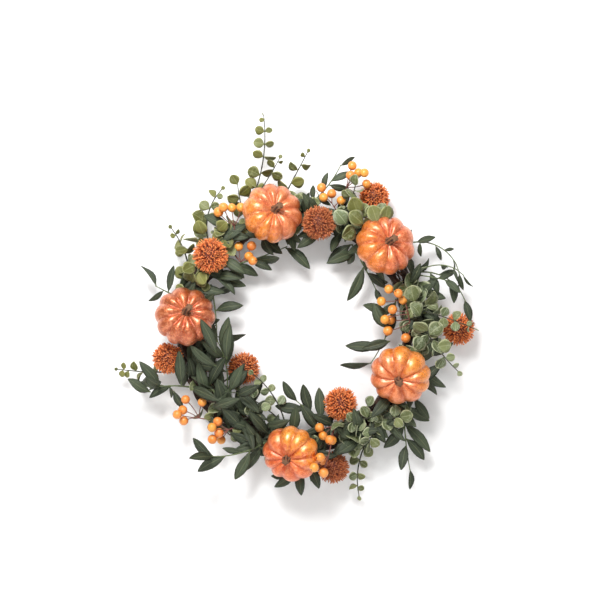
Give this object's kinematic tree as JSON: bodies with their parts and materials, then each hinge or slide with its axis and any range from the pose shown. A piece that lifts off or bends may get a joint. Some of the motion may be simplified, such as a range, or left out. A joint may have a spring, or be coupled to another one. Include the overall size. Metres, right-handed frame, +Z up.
{
  "type": "harvest door wreath",
  "caption": "Round artificial harvest wreath: twisted vine ring with ribbed pumpkins, pompon mums, berry picks, olive and eucalyptus sprays, and a wire hanging eye at the top.",
  "frame": {"origin": "on the door plane, level with the inside top of the wire hanging eye", "axes": "+Z up as hung, +Y back towards the door, so the front faces -Y; +X to the right seen from the front"},
  "size_m": [0.5395, 0.1114, 0.5807],
  "materials": {
    "vine": "rough dark red-brown bark",
    "binding_wire": "dark paper-wrapped wire",
    "pumpkin_paint": "brushed pearl and copper paint over foam",
    "pumpkin_stem": "knobbly brown paint with copper rubbing",
    "mum_petals": "matt fabric petals",
    "berry_lacquer": "satin lacquer over foam",
    "olive_leaf": "satin coated fabric, finely ribbed",
    "eucalyptus_leaf": "matt dusty coated fabric"
  },
  "bodies": {
    "wreath_ring": {"band_left": "binding_wire", "band_right": "binding_wire", "band_top": "binding_wire", "berries_bottom": "berry_lacquer", "berries_bottom_left": "berry_lacquer", "berries_inner_left": "berry_lacquer", "berries_low_left": "berry_lacquer", "berries_right": "berry_lacquer", "berries_top": "berry_lacquer", "berries_upper_left": "berry_lacquer", "eucalyptus_bottom_right": "eucalyptus_leaf", "eucalyptus_inner_bottom": "eucalyptus_leaf", "eucalyptus_low_left": "eucalyptus_leaf", "eucalyptus_right": "eucalyptus_leaf", "eucalyptus_top": "eucalyptus_leaf", "eucalyptus_top_right": "eucalyptus_leaf", "eucalyptus_upper_left": "eucalyptus_leaf", "eucalyptus_upper_left_low": "eucalyptus_leaf", "mum_1": "mum_petals", "mum_2": "mum_petals", "mum_3": "mum_petals", "mum_4": "mum_petals", "mum_5": "mum_petals", "mum_6": "mum_petals", "mum_7": "mum_petals", "mum_8": "mum_petals", "olive_bottom": "olive_leaf", "olive_inner_bottom": "olive_leaf", "olive_inner_left": "olive_leaf", "olive_inner_left_top": "olive_leaf", "olive_inner_right": "olive_leaf", "olive_inner_top_left": "olive_leaf", "olive_inner_top_right": "olive_leaf", "olive_left": "olive_leaf", "olive_left_low": "olive_leaf", "olive_right": "olive_leaf", "olive_right_low": "olive_leaf", "olive_top": "olive_leaf", "pumpkin_1": "pumpkin_paint", "pumpkin_2": "pumpkin_paint", "pumpkin_3": "pumpkin_paint", "pumpkin_4": "pumpkin_paint", "pumpkin_5": "pumpkin_paint", "pumpkin_stem_1": "pumpkin_stem", "pumpkin_stem_2": "pumpkin_stem", "pumpkin_stem_3": "pumpkin_stem", "pumpkin_stem_4": "pumpkin_stem", "pumpkin_stem_5": "pumpkin_stem", "vine_cane_1": "vine", "vine_cane_2": "vine", "vine_cane_3": "vine", "vine_cane_4": "vine"},
    "spray_olive_top_right": {"olive_top_right": "olive_leaf"},
    "spray_olive_hanging": {"olive_hanging": "olive_leaf"},
    "spray_olive_bottom_left": {"olive_bottom_left": "olive_leaf"},
    "spray_eucalyptus_crown": {"eucalyptus_crown": "eucalyptus_leaf"},
    "spray_eucalyptus_bottom_sprig": {"eucalyptus_bottom_sprig": "eucalyptus_leaf"},
    "spray_eucalyptus_left": {"eucalyptus_left": "eucalyptus_leaf"}
  },
  "joints": [
    {"name": "bend_olive_top_right", "type": "hinge", "parent": "wreath_ring", "child": "spray_olive_top_right", "pos_m": [0.14555, -0.0272, -0.07618], "axis": [0.5446, 0, -0.8387], "range_deg": [0, 30]},
    {"name": "bend_olive_hanging", "type": "hinge", "parent": "wreath_ring", "child": "spray_olive_hanging", "pos_m": [0.15646, -0.0208, -0.30786], "axis": [-0.9994, 0, 0.0349], "range_deg": [0, 30]},
    {"name": "bend_olive_bottom_left", "type": "hinge", "parent": "wreath_ring", "child": "spray_olive_bottom_left", "pos_m": [-0.05087, -0.04142, -0.3647], "axis": [-0.4695, 0, 0.8829], "range_deg": [0, 30]},
    {"name": "bend_eucalyptus_crown", "type": "hinge", "parent": "wreath_ring", "child": "spray_eucalyptus_crown", "pos_m": [-0.08329, -0.0272, -0.02754], "axis": [0.8746, 0, -0.4848], "range_deg": [0, 30]},
    {"name": "bend_eucalyptus_bottom_sprig", "type": "hinge", "parent": "wreath_ring", "child": "spray_eucalyptus_bottom_sprig", "pos_m": [0.10403, -0.0208, -0.35849], "axis": [-0.848, 0, 0.5299], "range_deg": [0, 30]},
    {"name": "bend_eucalyptus_left", "type": "hinge", "parent": "wreath_ring", "child": "spray_eucalyptus_left", "pos_m": [-0.17965, -0.0272, -0.26017], "axis": [-0.0698, 0, 0.9976], "range_deg": [0, 30]}
  ]
}
